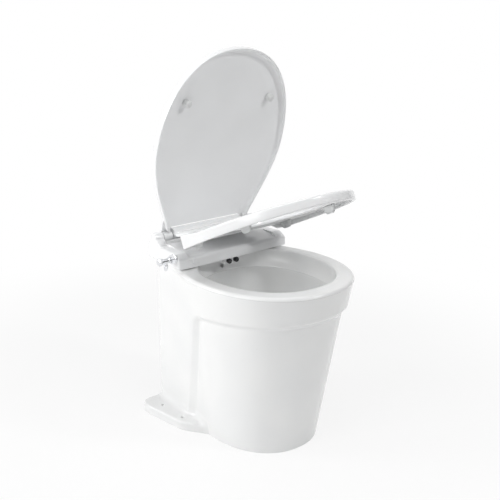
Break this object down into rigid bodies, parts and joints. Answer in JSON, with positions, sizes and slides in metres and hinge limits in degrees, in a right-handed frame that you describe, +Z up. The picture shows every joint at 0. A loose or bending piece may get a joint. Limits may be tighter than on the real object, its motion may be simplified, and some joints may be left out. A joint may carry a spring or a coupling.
{
  "type": "electric marine toilet",
  "caption": "Compact ceramic marine toilet with a macerator pump under the bowl, and a slim bidet base that carries a hinged seat and lid.",
  "frame": {"origin": "on the floor, on the centreline, in the middle of the thickness of the pedestal's rear sill", "axes": "+Z up; -Y towards the front of the bowl; +X to the right of someone who faces the toilet's front"},
  "size_m": [0.3864, 0.4699, 0.8674],
  "materials": {
    "ceramic": "white vitreous china with a smooth gloss glaze",
    "seat_plastic": "white moulded plastic, polished",
    "buffer_rubber": "pale soft rubber, matt",
    "black_plastic": "black moulded plastic, satin",
    "black_rubber": "black rubber, matt",
    "pump_plastic": "grey glass-filled plastic, matt",
    "motor_paint": "dark enamel on steel, semi-gloss",
    "steel": "stainless steel, lightly brushed",
    "chrome": "chrome plate, polished"
  },
  "bodies": {
    "root": {"pedestal": "ceramic", "bowl": "ceramic", "outlet_gasket": "black_rubber", "macerator_housing": "pump_plastic", "macerator_cover": "pump_plastic", "cutter_plate": "steel", "motor_body": "motor_paint", "motor_end_cap": "black_plastic", "motor_bracket": "steel", "bracket_pad_left": "black_rubber", "bracket_pad_right": "black_rubber", "cover_screw_1": "steel", "cover_screw_2": "steel", "cover_screw_3": "steel", "cover_screw_4": "steel", "discharge_elbow": "pump_plastic", "discharge_valve": "black_plastic", "discharge_spigot": "black_plastic", "solenoid_valve": "black_plastic", "solenoid_coil": "steel", "rinse_nozzle": "pump_plastic", "rinse_hose": "black_rubber", "hinge_base": "seat_plastic", "base_plate": "seat_plastic", "base_pad_front_left": "buffer_rubber", "base_pad_front_right": "buffer_rubber", "base_pad_rear_left": "buffer_rubber", "base_pad_rear_right": "buffer_rubber", "front_plug": "seat_plastic", "deck_washer_left": "black_rubber", "deck_washer_right": "black_rubber", "deck_nut_left": "seat_plastic", "deck_nut_right": "seat_plastic", "deck_bolt_left": "steel", "deck_bolt_right": "steel", "hinge_pin_left": "steel", "hinge_pin_right": "steel", "inlet_collar": "chrome", "inlet_tee": "chrome", "inlet_cap": "chrome", "nozzle_guard": "seat_plastic", "nozzle_left": "black_plastic", "nozzle_right": "black_plastic"},
    "rotor": {"motor_shaft": "steel", "impeller": "black_plastic", "chopper_blade": "steel"},
    "seat": {"seat": "seat_plastic", "damper_left": "black_plastic", "damper_right": "black_plastic", "seat_buffer_front_left": "buffer_rubber", "seat_buffer_front_right": "buffer_rubber", "seat_buffer_rear_left": "buffer_rubber", "seat_buffer_rear_right": "buffer_rubber"},
    "lid": {"lid": "seat_plastic", "lid_buffer_left": "buffer_rubber", "lid_buffer_right": "buffer_rubber"}
  },
  "joints": [
    {"name": "seat_hinge", "type": "hinge", "parent": "root", "child": "seat", "pos_m": [0, -0.045, 0.443], "axis": [-1, 0, 0], "range_deg": [-22, 0]},
    {"name": "lid_hinge", "type": "hinge", "parent": "seat", "child": "lid", "pos_m": [0, -0.045, 0.443], "axis": [-1, 0, 0], "range_deg": [-51.5, 34.5]},
    {"name": "motor_spin", "type": "hinge", "parent": "root", "child": "rotor", "pos_m": [0, -0.18, 0.096], "axis": [0, 1, 0], "continuous": true}
  ]
}
